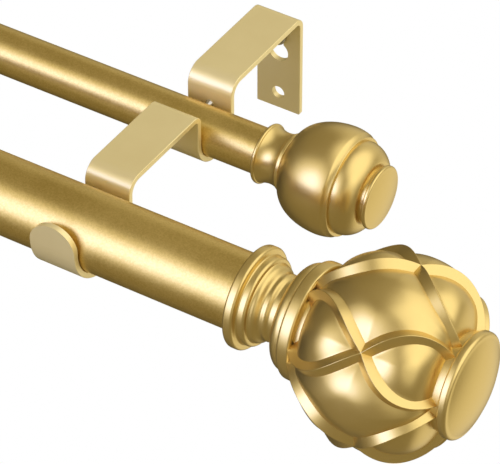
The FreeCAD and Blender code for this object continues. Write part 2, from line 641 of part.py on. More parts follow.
def ball_windows():
    """Makes the windows between the bands: a diamond and two pointed arches for each start."""
    starts = round(360 / size("Sizes.band_sweep"))
    half = math.asin(size("Sizes.band_width / 2") / size(PANEL_RADIUS))
    sweep = math.radians(size("Sizes.band_sweep"))
    windows = []
    for index in range(starts):
        first = math.radians(size("Sizes.band_turn")) + index * sweep
        following = first + sweep
        before = first - sweep
        cross = first + sweep / 2
        start_plane = V(-math.sin(first), math.cos(first), 0)
        cross_plane = V(-math.sin(cross), math.cos(cross), 0)
        tip = meeting_share(first, 1, half, start_plane, 0.02, 0.5)
        side_tip = meeting_share(first, 1, half, Z_AXIS, 0.3, 0.7)
        far_side = meeting_share(first, 1, -half, cross_plane, 0.3, 0.7)
        windows.append(taper([
            window_side(first, 1, half, tip, side_tip),
            window_side(following, -1, half, 1 - side_tip, 1 - tip),
            window_side(before, 1, -half, 1 - tip, 1 - side_tip),
            window_side(first, -1, -half, side_tip, tip),
        ]))
        neck_side = window_side(first, 1, -half, -0.06, far_side)
        neck_back = window_side(following, -1, half, far_side, -0.06)
        windows.append(taper([neck_side, neck_back, [neck_back[-1], neck_side[0]]]))
        cap_side = window_side(following, -1, -half, 1 - far_side, 1.06)
        cap_back = window_side(first, 1, half, 1.06, 1 - far_side)
        windows.append(taper([cap_side, [cap_side[-1], cap_back[0]], cap_back]))
    return windows


def make_rear_finial(label):
    """Turns the rear finial: a collar, a hollow neck, an egg-shaped bulb and a button."""
    bore = "Sizes.rear_stud / 2 + Sizes.stud_gap"
    bore_end = "Sizes.rear_socket_depth + Sizes.stud_in_finial + Sizes.stud_end_gap"
    socket = "Sizes.rear_pole / 2 + Sizes.socket_gap"
    collar = "Sizes.rear_collar_radius"
    neck_end = "Sizes.rear_collar_length + Sizes.rear_neck_length"
    rim_end = f"{neck_end} + Sizes.rear_rim_length"
    widest = f"{rim_end} + Sizes.bulb_rise_length"
    shoulder = f"{widest} + Sizes.bulb_shoulder_length"
    step = f"{shoulder} + Sizes.bulb_step_length"
    tier_end = f"{step} + Sizes.tier_length"
    button = f"{tier_end} + Sizes.button_groove_length"
    button_end = f"{button} + Sizes.button_length"
    rim = "Sizes.rear_collar_length / 2"
    waist = "Sizes.rear_neck_depth"
    neck_hollow = f"((Sizes.rear_neck_length / 2) ^ 2 + {waist} ^ 2) / (2 * {waist})"
    rise = "(Sizes.bulb_radius - Sizes.bulb_start_radius)"
    rise_radius = f"({rise} ^ 2 + Sizes.bulb_rise_length ^ 2) / (2 * {rise})"
    fall = "(Sizes.bulb_radius - Sizes.bulb_shoulder_radius)"
    fall_radius = f"({fall} ^ 2 + Sizes.bulb_shoulder_length ^ 2) / (2 * {fall})"
    button_face = "(Sizes.button_radius - Sizes.button_length / 3)"
    dome_radius = f"({button_face} ^ 2 + Sizes.button_dome ^ 2) / (2 * Sizes.button_dome)"
    return make_turned(label, [
        ("0", bore_end),
        (bore, bore_end),
        (bore, "Sizes.rear_socket_depth"),
        (socket, "Sizes.rear_socket_depth"),
        (socket, "0"),
        (f"{collar} - {rim}", "0"),
        (collar, rim, rim, "left"),
        (f"{collar} - {rim} * {SLANT}", "Sizes.rear_collar_length", rim, "left"),
        (f"{collar} - {rim} * {SLANT}", neck_end, neck_hollow, "right"),
        (f"{collar} - {rim} * {SLANT}", f"{rim_end} - Sizes.groove_width"),
        ("Sizes.bulb_start_radius - Sizes.groove_width", rim_end),
        ("Sizes.bulb_start_radius", rim_end),
        ("Sizes.bulb_radius", widest, rise_radius, "left"),
        ("Sizes.bulb_shoulder_radius", shoulder, fall_radius, "left"),
        ("Sizes.bulb_step_radius", step, f"Sizes.bulb_step_length * {STEP_HOLLOW}", "right"),
        ("Sizes.tier_radius", step),
        ("Sizes.tier_end_radius", tier_end, f"Sizes.tier_length * {TIER_CURVE}", "left"),
        ("Sizes.button_groove_radius", tier_end),
        ("Sizes.button_groove_radius", button),
        (button_face, button),
        ("Sizes.button_radius", f"{button} + Sizes.button_length / 3",
         "Sizes.button_length / 3", "left"),
        ("Sizes.button_radius", f"{button_end} - Sizes.button_length / 3"),
        (button_face, button_end, "Sizes.button_length / 3", "left"),
        ("0", f"{button_end} + Sizes.button_dome", dome_radius, "left"),
    ])


class Pole:
    """One of the two poles: its tubes, rings, plugs, studs and finials."""

    def __init__(self, part, y, z, make_finial):
        self.part = part
        self.y = y
        self.z = z
        self.outer = f"Sizes.{part}_pole"
        self.inner = f"Sizes.{part}_inner_pole"
        self.socket = f"Sizes.{part}_socket_depth"
        self.overhang = f"Sizes.{part}_overhang"
        self.stud = f"Sizes.{part}_stud"
        self.left_face = f"-Sizes.bracket_spacing - {self.overhang}"
        self.inner_length = (f"({self.overhang} + {self.socket} - Sizes.plug_flange"
                             " - Sizes.plug_length - Sizes.glide_room - Sizes.glide_length"
                             f" - ({self.left_face}))")
        self.make_finial = make_finial

    def place(self, piece, direction, x):
        """Puts a piece on the pole's axis."""
        turn_to(piece, direction, x, self.y, self.z)
        return piece

    def make_tubes(self):
        """Makes the outer tube, and the inner tube that slides out of its left mouth."""
        mouth = f"{self.left_face} + Sizes.closed_gap + Sizes.mouth_ring_lip"
        right_end = f"{self.overhang} + {self.socket} - Sizes.plug_flange"
        outer = make_tube(f"{self.part}_outer_tube", self.outer, f"{right_end} - ({mouth})")
        inner = make_tube(f"{self.part}_inner_tube", self.inner, self.inner_length)
        return [self.place(outer, "+X", mouth), self.place(inner, "+X", self.left_face)]

    def make_slide_rings(self):
        """Makes the plastic ring in the mouth and the glide on the inner tube's end."""
        hole = f"{self.inner} / 2 + Sizes.running_gap"
        inside = f"{self.outer} / 2 - Sizes.tube_wall"
        ring = make_turned(f"{self.part}_mouth_ring", [
            (hole, "0"),
            (f"{self.outer} / 2", "0"),
            (f"{self.outer} / 2", "Sizes.mouth_ring_lip"),
            (f"{inside} - Sizes.plug_gap", "Sizes.mouth_ring_lip"),
            (f"{inside} - Sizes.plug_gap", "Sizes.mouth_ring_lip + Sizes.mouth_ring_length"),
            (hole, "Sizes.mouth_ring_lip + Sizes.mouth_ring_length"),
        ])
        spigot = f"{self.inner} / 2 - Sizes.tube_wall - Sizes.plug_gap"
        run = f"{inside} - Sizes.running_gap"
        end = "Sizes.glide_spigot + Sizes.glide_length"
        ease = "Sizes.glide_length / 8"
        glide = make_turned(f"{self.part}_glide", [
            (f"{spigot} - Sizes.glide_wall", "0"),
            (spigot, "0"),
            (spigot, "Sizes.glide_spigot"),
            (run, "Sizes.glide_spigot"),
            (run, f"{end} - {ease}"),
            (f"{run} - {ease}", end, ease, "left"),
            (f"{spigot} - Sizes.glide_wall", end),
        ])
        glide_start = f"{self.left_face} + {self.inner_length} - Sizes.glide_spigot"
        return [self.place(ring, "+X", f"{self.left_face} + Sizes.closed_gap"),
                self.place(glide, "+X", glide_start)]

    def make_plugs(self):
        """Makes the plug in the outer tube's right end and the one in the inner's left end."""
        bore = f"{self.stud} / 2 + Sizes.stud_gap"
        fits = f"{self.outer} / 2 - Sizes.tube_wall - Sizes.plug_gap"
        right = make_turned(f"{self.part}_end_plug_right", [
            (bore, "0"),
            (f"{self.outer} / 2", "0"),
            (f"{self.outer} / 2", "Sizes.plug_flange"),
            (fits, "Sizes.plug_flange"),
            (fits, "Sizes.plug_flange + Sizes.plug_length"),
            (bore, "Sizes.plug_flange + Sizes.plug_length"),
        ])
        narrow = f"{self.inner} / 2 - Sizes.tube_wall - Sizes.plug_gap"
        left = make_turned(f"{self.part}_end_plug_left", [
            (bore, "0"),
            (f"{self.outer} / 2", "0"),
            (f"{self.outer} / 2", self.socket),
            (narrow, self.socket),
            (narrow, f"{self.socket} + Sizes.plug_length"),
            (bore, f"{self.socket} + Sizes.plug_length"),
        ])
        return [self.place(right, "-X", f"{self.overhang} + {self.socket}"),
                self.place(left, "+X", f"{self.left_face} - {self.socket}")]

    def make_ends(self):
        """Makes both finials and the studs that hold them."""
        finial = self.place(self.make_finial(f"{self.part}_finial_right"), "+X", self.overhang)
        stud = make_turned(f"{self.part}_stud_right", [
            ("0", "0"),
            (f"{self.stud} / 2 - {self.stud} / 10", "0"),
            (f"{self.stud} / 2", f"{self.stud} / 10"),
            (f"{self.stud} / 2",
             f"Sizes.stud_in_finial + Sizes.stud_in_plug - {self.stud} / 10"),
            (f"{self.stud} / 2 - {self.stud} / 10",
             "Sizes.stud_in_finial + Sizes.stud_in_plug"),
            ("0", "Sizes.stud_in_finial + Sizes.stud_in_plug"),
        ])
        self.place(stud, "+X", f"{self.overhang} + {self.socket} - Sizes.stud_in_plug")
        return [finial, stud, mirrored(f"{self.part}_finial_left", finial),
                mirrored(f"{self.part}_stud_left", stud)]

    def make(self):
        """Makes every piece of the pole."""
        return self.make_tubes() + self.make_slide_rings() + self.make_plugs() + self.make_ends()


def make_set_screw(part, face_depth, pole_y, pole_z):
    """Makes the screw that presses a pole against the far side of its cradle."""
    off_axis = f"max(abs(({SET_SCREW_Z}) - ({pole_z})) - Sizes.screw_tip_radius; 0)"
    reach = f"sqrt((Sizes.{part}_pole / 2) ^ 2 - ({off_axis}) ^ 2)"
    back = f"{face_depth} - Sizes.strip_thickness"
    length = f"(-({pole_y}) - {reach} - ({back}))"
    label = f"{part}_set_screw_right"
    screw = make_screw(label, "Sizes.set_screw_head", "Sizes.set_screw_head_height",
                       "Sizes.set_screw_thread", length)
    turn_to(screw, "-Y", "0", f"-({back}) + Sizes.seat_gap", SET_SCREW_Z)
    return [screw, mirrored(f"{part}_set_screw_left", screw)]


def make_wall_screw():
    """Makes the screw whose head sits at the top of the keyhole's neck."""
    screw = make_screw("wall_screw_right", "Sizes.wall_screw_head",
                       "Sizes.wall_screw_head_height", "Sizes.wall_screw_shank",
                       "Sizes.wall_screw_length")
    turn_to(screw, "+Y", "0", "-Sizes.strip_thickness - Sizes.wall_screw_seat",
            f"{KEYHOLE_Z} + Sizes.keyhole_slide")
    return [screw, mirrored("wall_screw_left", screw)]


bracket = make_bracket("bracket_right")
pieces = [bracket, mirrored("bracket_left", bracket)]
pieces += make_wall_screw()
pieces += make_set_screw("rear", "Sizes.rear_leg_depth", REAR_POLE_Y, REAR_POLE_Z)
pieces += make_set_screw("front", f"({FRONT_LEG_DEPTH})", FRONT_POLE_Y, FRONT_POLE_Z)
pieces += Pole("front", FRONT_POLE_Y, FRONT_POLE_Z, make_front_finial).make()
pieces += Pole("rear", REAR_POLE_Y, REAR_POLE_Z, make_rear_finial).make()
doc.recompute()

for thing in doc.Objects:
    if "Invalid" in thing.State or "Error" in thing.State:
        raise ValueError(f"{thing.Label} did not build: {thing.State}")
for piece in pieces:
    if piece.Shape.isNull() or not piece.Shape.isValid():
        raise ValueError(f"{piece.Label} has no sound shape")

os.makedirs("parts", exist_ok=True)
for piece in pieces:
    piece.Shape.exportStep(f"parts/{piece.Label}.step")
    print(piece.Label, len(piece.Shape.Solids), round(piece.Shape.Volume, 1))
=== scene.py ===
"""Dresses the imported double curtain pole: finishes, smooth turned pieces, banded balls.

Lengths in the dataclasses are millimetres, as in the shop drawing, and meshes are metres.
+X runs along the poles to the right, +Y into the wall, +Z up.
"""

import json
import logging
from dataclasses import dataclass
from enum import Enum

import bmesh
import bpy
import numpy as np
from mathutils import Matrix, Vector


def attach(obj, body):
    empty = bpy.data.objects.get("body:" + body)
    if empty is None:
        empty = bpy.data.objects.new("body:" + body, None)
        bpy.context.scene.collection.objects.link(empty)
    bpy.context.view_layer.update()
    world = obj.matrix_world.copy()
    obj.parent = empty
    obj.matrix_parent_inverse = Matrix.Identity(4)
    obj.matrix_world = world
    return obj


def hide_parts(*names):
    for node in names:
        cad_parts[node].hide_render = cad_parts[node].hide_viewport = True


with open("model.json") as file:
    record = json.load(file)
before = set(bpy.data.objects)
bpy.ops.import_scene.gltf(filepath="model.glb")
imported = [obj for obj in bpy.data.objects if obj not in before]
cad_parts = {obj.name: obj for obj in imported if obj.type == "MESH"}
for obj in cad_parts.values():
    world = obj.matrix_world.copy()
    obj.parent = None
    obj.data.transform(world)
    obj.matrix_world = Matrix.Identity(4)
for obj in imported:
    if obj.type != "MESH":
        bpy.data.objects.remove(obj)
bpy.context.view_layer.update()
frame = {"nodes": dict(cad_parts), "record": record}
MM = 0.001
SAME_PLACE = 1e-6
COLLAPSED = 1e-7
log = logging.getLogger("double_curtain_pole")


class Slot(Enum):
    """The record's material slots."""

    BRACKET = "bracket_gold"
    TUBE = "tube_gold"
    FINIAL = "finial_gold"
    SCREW = "screw_steel"
    LINER = "liner_plastic"


class Side(Enum):
    """The two ends of the poles."""

    RIGHT = "right"
    LEFT = "left"


# Surfaces

@dataclass
class Grid:
    """A surface as a grid of points, which lists its own faces.

    Args:
        points: Array of (rows, columns, 3) in millimetres.
        wrap_rows: Whether the last row joins the first.
        wrap_columns: Whether the last column joins the first.
        close_ends: Whether the first and last rows are closed with a fan.
    """

    points: np.ndarray
    wrap_rows: bool = False
    wrap_columns: bool = True
    close_ends: bool = False

    def faces(self, offset: int = 0) -> list[tuple[int, ...]]:
        """Lists the quads, row by row, and the fans that close the ends.

        Args:
            offset: Number of points that come before this grid in the mesh.

        Returns:
            The corner indices of each face.
        """
        rows, columns = self.points.shape[:2]
        index = np.arange(rows * columns).reshape(rows, columns) + offset
        below = index if self.wrap_rows else index[:-1]
        above = np.roll(index, -1, axis=0) if self.wrap_rows else index[1:]
        if self.wrap_columns:
            quads = np.stack([below, np.roll(below, -1, axis=1),
                              np.roll(above, -1, axis=1), above], axis=-1)
        else:
            quads = np.stack([below[:, :-1], below[:, 1:], above[:, 1:], above[:, :-1]], axis=-1)
        result = [tuple(quad) for quad in quads.reshape(-1, 4).tolist()]
        if self.close_ends:
            result.append(tuple(index[0, ::-1].tolist()))
            result.append(tuple(index[-1].tolist()))
        return result


def build_piece(name: str, grids: list[Grid], mirror_at: float | None = None,
                sharp: float = 35.0) -> bpy.types.Object:
    """Puts grids into one mesh object whose faces point outwards.

    Args:
        name: The piece's name.
        grids: Its surfaces, in millimetres.
        mirror_at: X of the plane that the piece is mirrored across, or None.
        sharp: Angle in degrees over which an edge stays crisp.

    Returns:
        The object, at the origin and in metres.
    """
    faces: list[tuple[int, ...]] = []
    stacks: list[np.ndarray] = []
    total = 0
    for grid in grids:
        stacks.append(grid.points.reshape(-1, 3))
        faces += grid.faces(total)
        total += len(stacks[-1])
    points = np.concatenate(stacks)
    if mirror_at is not None:
        points = points * (-1.0, 1.0, 1.0) + (2 * mirror_at, 0.0, 0.0)
        faces = [face[::-1] for face in faces]
    mesh = bpy.data.meshes.new(name)
    mesh.from_pydata((points * MM).tolist(), [], faces)
    mesh.update()
    piece = bpy.data.objects.new(name, mesh)
    bpy.context.scene.collection.objects.link(piece)
    weld(piece)
    mesh.polygons.foreach_set("use_smooth", np.ones(len(mesh.polygons), bool))
    mesh.set_sharp_from_angle(angle=np.radians(sharp))
    return piece


def weld(piece: bpy.types.Object) -> None:
    """Merges doubled points, drops collapsed faces and turns the faces outwards.

    Args:
        piece: The mesh object.
    """
    work = bmesh.new()
    work.from_mesh(piece.data)
    bmesh.ops.remove_doubles(work, verts=work.verts, dist=SAME_PLACE)
    bmesh.ops.dissolve_degenerate(work, edges=work.edges, dist=COLLAPSED)
    bmesh.ops.recalc_face_normals(work, faces=work.faces)
    work.to_mesh(piece.data)
    work.free()
    piece.data.update()


@dataclass(frozen=True)
class Axis:
    """The line that a turned piece is turned round, along X.

    Args:
        x: Where the profile's zero lies.
        y: Depth of the axis.
        z: Height of the axis.
    """

    x: float
    y: float
    z: float

    def place(self, along: np.ndarray, radius: np.ndarray, turn: np.ndarray) -> np.ndarray:
        """Carries cylinder coordinates to the frame.

        The point is (x + along, y - radius cos turn, z + radius sin turn), so a turn of zero
        faces the room and a quarter turn faces up.

        Args:
            along: Distance from the profile's zero.
            radius: Distance from the axis.
            turn: Angle round the axis in radians.

        Returns:
            Points as an array with a last axis of three.
        """
        along, radius, turn = np.broadcast_arrays(along, radius, turn)
        return np.stack([self.x + along, self.y - radius * np.cos(turn),
                         self.z + radius * np.sin(turn)], axis=-1)


@dataclass(frozen=True)
class Rounding:
    """An arc that takes off a turned edge, or fills a corner where its rise is negative.

    Args:
        along: How far it reaches along the axis.
        down: How far it reaches towards the axis.
        rise: Height of the arc over its chord.
    """

    along: float
    down: float
    rise: float


class Turning:
    """Half of the outline of a turned piece, drawn from the left end to the right."""

    def __init__(self, along: float, radius: float) -> None:
        """Starts the outline.

        Args:
            along: Where it starts.
            radius: Radius there.
        """
        self.places = [np.array([[along, radius]])]

    def to(self, along: float, radius: float) -> "Turning":
        """Goes straight to a place and returns the outline."""
        return self.through(np.array([[along, radius]]))

    def bulge(self, along: float, radius: float, rise: float, steps: int = 10) -> "Turning":
        """Goes to a place along a circular arc that stands off the straight line.

        The circle's radius is (chord^2 / 4 + rise^2) / (2 rise).

        Args:
            along: Where the arc ends.
            radius: Radius there.
            rise: Height of the arc over its chord, negative for a hollow.
            steps: Number of pieces of the arc.

        Returns:
            The outline.
        """
        start, end = self.places[-1][-1], np.array([along, radius])
        chord = end - start
        length = float(np.hypot(*chord))
        circle = (length ** 2 / 4 + rise ** 2) / (2 * rise)
        half = np.arcsin(np.clip(length / 2 / abs(circle), -1, 1))
        angle = np.linspace(-half, half, steps + 1)[1:, None]
        out = np.array([-chord[1], chord[0]]) / length
        centre = (start + end) / 2 + out * (rise - circle)
        straight = chord / length
        arc = centre + abs(circle) * np.sin(angle) * straight + circle * np.cos(angle) * out
        return self.through(arc)

    def through(self, places: np.ndarray) -> "Turning":
        """Goes through rows of (along, radius) and returns the outline."""
        self.places.append(places)
        return self

    def edge_up(self, along: float, radius: float, rounding: Rounding) -> "Turning":
        """Comes up a face and rounds the edge at its top.

        Args:
            along: Where the face is.
            radius: Radius after the edge.
            rounding: The edge's rounding.

        Returns:
            The outline.
        """
        self.to(along, radius - rounding.down)
        return self.bulge(along + rounding.along, radius, rounding.rise)

    def edge_down(self, along: float, radius: float, rounding: Rounding) -> "Turning":
        """Goes along at a radius and rounds the edge to a face.

        Args:
            along: Where the face is.
            radius: Radius before the edge.
            rounding: The edge's rounding.

        Returns:
            The outline.
        """
        self.to(along - rounding.along, radius)
        return self.bulge(along, radius - rounding.down, rounding.rise)

    def outline(self) -> np.ndarray:
        """Returns the outline as rows of (along, radius)."""
        return np.concatenate(self.places)


def turned(axis: Axis, outline: np.ndarray, columns: int = 128) -> Grid:
    """Turns an outline round an axis.

    Args:
        axis: The axis.
        outline: Rows of (along, radius).
        columns: Number of points round the axis.

    Returns:
        The surface.
    """
    turn = np.linspace(0, 2 * np.pi, columns, endpoint=False)
    return Grid(axis.place(outline[:, :1], outline[:, 1:], turn[None]))


# Shader node groups

FINE_CLOUD = 5.3
FINE_CLOUD_SHARE = 0.4
ROUGHNESS_SPREAD = 0.1


def group_nodes(name: str, inputs: dict[str, float | tuple[float, ...]],
                outputs: dict[str, str]) -> tuple[bpy.types.NodeTree, dict[str, object]]:
    """Starts a shader node group with named inputs and outputs.

    Args:
        name: The group's name.
        inputs: Default value of each input.
        outputs: Socket type of each output.

    Returns:
        The group and its input and output nodes.
    """
    tree = bpy.data.node_groups.new(name, "ShaderNodeTree")
    for label, value in inputs.items():
        kind = "NodeSocketVector" if isinstance(value, tuple) else "NodeSocketFloat"
        socket = tree.interface.new_socket(label, in_out="INPUT", socket_type=kind)
        if not isinstance(value, tuple):
            socket.default_value = value
    for label, kind in outputs.items():
        tree.interface.new_socket(label, in_out="OUTPUT", socket_type=kind)
    ends = {"in": tree.nodes.new("NodeGroupInput"), "out": tree.nodes.new("NodeGroupOutput")}
    return tree, ends


def add_math(tree: bpy.types.NodeTree, operation: str, first: object,
             second: object) -> bpy.types.NodeSocket:
    """Adds a Math node whose inputs are sockets or numbers.

    Args:
        tree: The node tree.
        operation: The Math node's operation.
        first: A socket or a number.
        second: A socket or a number.

    Returns:
        The node's output.
    """
    node = tree.nodes.new("ShaderNodeMath")
    node.operation = operation
    for socket, value in zip(node.inputs, (first, second)):
        if isinstance(value, (int, float)):
            socket.default_value = value
        else:
            tree.links.new(value, socket)
    return node.outputs[0]


def make_cloud_group() -> bpy.types.NodeTree:
    """Makes the slow unevenness of a coating: noise of two sizes, centred on one half."""
    inputs = {"Coordinates": (0.0, 0.0, 0.0), "Scale": 40.0, "Strength": 0.5}
    tree, ends = group_nodes("coating_cloud", inputs, {"Mask": "NodeSocketFloat"})
    parts = []
    for factor in (1.0, FINE_CLOUD):
        noise = tree.nodes.new("ShaderNodeTexNoise")
        noise.inputs["Detail"].default_value = 3.0
        tree.links.new(ends["in"].outputs["Coordinates"], noise.inputs["Vector"])
        tree.links.new(add_math(tree, "MULTIPLY", ends["in"].outputs["Scale"], factor),
                       noise.inputs["Scale"])
        parts.append(add_math(tree, "SUBTRACT", noise.outputs["Fac"], 0.5))
    fine = add_math(tree, "MULTIPLY", parts[1], FINE_CLOUD_SHARE)
    both = add_math(tree, "ADD", parts[0], fine)
    scaled = add_math(tree, "MULTIPLY", both, ends["in"].outputs["Strength"])
    mask = add_math(tree, "ADD", scaled, 0.5)
    tree.links.new(mask, ends["out"].inputs["Mask"])
    return tree


def make_flake_group() -> bpy.types.NodeTree:
    """Makes metal flake: tiny cells, each with a brightness and a height of its own."""
    tree, ends = group_nodes("coating_flake", {"Coordinates": (0.0, 0.0, 0.0), "Scale": 3000.0},
                             {"Brightness": "NodeSocketFloat", "Height": "NodeSocketFloat"})
    cells = tree.nodes.new("ShaderNodeTexVoronoi")
    cells.feature = "F1"
    tree.links.new(ends["in"].outputs["Coordinates"], cells.inputs["Vector"])
    tree.links.new(ends["in"].outputs["Scale"], cells.inputs["Scale"])
    split = tree.nodes.new("ShaderNodeSeparateColor")
    tree.links.new(cells.outputs["Color"], split.inputs[0])
    tree.links.new(split.outputs[0], ends["out"].inputs["Brightness"])
    tree.links.new(split.outputs[1], ends["out"].inputs["Height"])
    return tree


def make_grain_group() -> bpy.types.NodeTree:
    """Makes the fine orange-peel grain of a sprayed coating as a height."""
    tree, ends = group_nodes("coating_grain", {"Coordinates": (0.0, 0.0, 0.0), "Scale": 900.0},
                             {"Height": "NodeSocketFloat"})
    noise = tree.nodes.new("ShaderNodeTexNoise")
    noise.inputs["Detail"].default_value = 4.0
    noise.inputs["Roughness"].default_value = 0.6
    tree.links.new(ends["in"].outputs["Coordinates"], noise.inputs["Vector"])
    tree.links.new(ends["in"].outputs["Scale"], noise.inputs["Scale"])
    tree.links.new(noise.outputs["Fac"], ends["out"].inputs["Height"])
    return tree


GROUPS = {"cloud": make_cloud_group(), "flake": make_flake_group(), "grain": make_grain_group()}


def place_group(tree: bpy.types.NodeTree, name: str, coordinates: bpy.types.NodeSocket,
                **values: float) -> bpy.types.Node:
    """Places one of the node groups in a material.

    Args:
        tree: The material's node tree.
        name: Which group.
        coordinates: The coordinates that the pattern follows.
        **values: The group's inputs.

    Returns:
        The group node.
    """
    node = tree.nodes.new("ShaderNodeGroup")
    node.node_tree = GROUPS[name]
    tree.links.new(coordinates, node.inputs["Coordinates"])
    for label, value in values.items():
        node.inputs[label.capitalize()].default_value = value
    return node


@dataclass(frozen=True)
class Coating:
    """A sprayed or plated finish: metal colour, flake, grain and slow unevenness.

    Args:
        slot: The record's slot that the finish belongs to.
        light: Colour where the coating is thick.
        deep: Colour where it is thin.
        metallic: How metallic the coat is.
        roughness: Its roughness, which varies by a twentieth.
        cloud_scale: Scale of the unevenness.
        flake: How much the flake's brightness varies.
        flake_scale: Scale of the flake.
        grain: Height of the grain in millimetres.
        grain_scale: Scale of the grain.
    """

    slot: Slot
    light: tuple[float, float, float]
    deep: tuple[float, float, float]
    metallic: float
    roughness: float
    cloud_scale: float = 45.0
    flake: float = 0.0
    flake_scale: float = 2600.0
    grain: float = 0.02
    grain_scale: float = 900.0

    def material(self) -> bpy.types.Material:
        """Builds the material.

        Returns:
            The material, named after its slot.
        """
        material = bpy.data.materials.new(self.slot.value)
        material.use_nodes = True
        tree = material.node_tree
        shader = tree.nodes["Principled BSDF"]
        shader.inputs["Metallic"].default_value = self.metallic
        place = tree.nodes.new("ShaderNodeTexCoord").outputs["Object"]
        cloud = place_group(tree, "cloud", place, scale=self.cloud_scale, strength=1.0)
        flake = place_group(tree, "flake", place, scale=self.flake_scale)
        grain = place_group(tree, "grain", place, scale=self.grain_scale)
        colour = tree.nodes.new("ShaderNodeMix")
        colour.data_type = "RGBA"
        colour.inputs["A"].default_value = (*self.deep, 1.0)
        colour.inputs["B"].default_value = (*self.light, 1.0)
        brightness = add_math(tree, "SUBTRACT", flake.outputs["Brightness"], 0.5)
        spark = add_math(tree, "MULTIPLY", brightness, self.flake)
        tree.links.new(add_math(tree, "ADD", cloud.outputs["Mask"], spark),
                       colour.inputs["Factor"])
        tree.links.new(colour.outputs["Result"], shader.inputs["Base Color"])
        uneven = add_math(tree, "SUBTRACT", cloud.outputs["Mask"], 0.5)
        spread = add_math(tree, "MULTIPLY", uneven, ROUGHNESS_SPREAD)
        tree.links.new(add_math(tree, "ADD", spread, self.roughness),
                       shader.inputs["Roughness"])
        bump = tree.nodes.new("ShaderNodeBump")
        bump.inputs["Strength"].default_value = 1.0
        bump.inputs["Distance"].default_value = self.grain * MM
        facets = add_math(tree, "MULTIPLY", flake.outputs["Height"], self.flake)
        height = add_math(tree, "ADD", grain.outputs["Height"], facets)
        tree.links.new(height, bump.inputs["Height"])
        tree.links.new(bump.outputs["Normal"], shader.inputs["Normal"])
        return material


FINISHES = {
    Slot.BRACKET: Coating(Slot.BRACKET, (0.98, 0.83, 0.42), (0.92, 0.76, 0.36), 0.42, 0.34,
                          grain=0.025, grain_scale=1500.0),
    Slot.TUBE: Coating(Slot.TUBE, (0.87, 0.655, 0.24), (0.72, 0.52, 0.16), 1.0, 0.37,
                       flake=0.7, flake_scale=2200.0, grain=0.004),
    Slot.FINIAL: Coating(Slot.FINIAL, (0.82, 0.63, 0.25), (0.76, 0.57, 0.21), 0.93, 0.32,
                         flake=0.12, grain=0.004, grain_scale=700.0),
    Slot.SCREW: Coating(Slot.SCREW, (0.62, 0.60, 0.57), (0.50, 0.48, 0.45), 1.0, 0.24,
                        grain=0.004, grain_scale=2500.0),
    Slot.LINER: Coating(Slot.LINER, (0.80, 0.79, 0.75), (0.72, 0.71, 0.66), 0.0, 0.45,
                        grain=0.01, grain_scale=1200.0),
}
MATERIALS = {slot: finish.material() for slot, finish in FINISHES.items()}


def dress(piece: bpy.types.Object, slot: Slot, body: str, *nodes: str) -> None:
    """Gives a new piece its finish, the body it rides on and the nodes it stands for.

    Args:
        piece: The new piece.
        slot: Its material slot.
        body: The body that it rides on.
        *nodes: The CAD nodes that it replaces.
    """
    piece.data.materials.clear()
    piece.data.materials.append(MATERIALS[slot])
    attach(piece, body)
    if nodes:
        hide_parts(*nodes)
    log.info("%s rides on %s and stands for %s", piece.name, body, ", ".join(nodes) or "no node")


def dress_nodes() -> None:
    """Puts each CAD node's own finish on it."""
    for row in frame["record"]["subparts"]:
        node = frame["nodes"][row["node"]]
        material = MATERIALS[Slot(row["material_slot"])]
        if not node.material_slots:
            node.data.materials.append(material)
        for place in node.material_slots:
            place.material = material
        log.info("%s keeps its CAD shape in %s", node.name, material.name)


# The banded ball finial

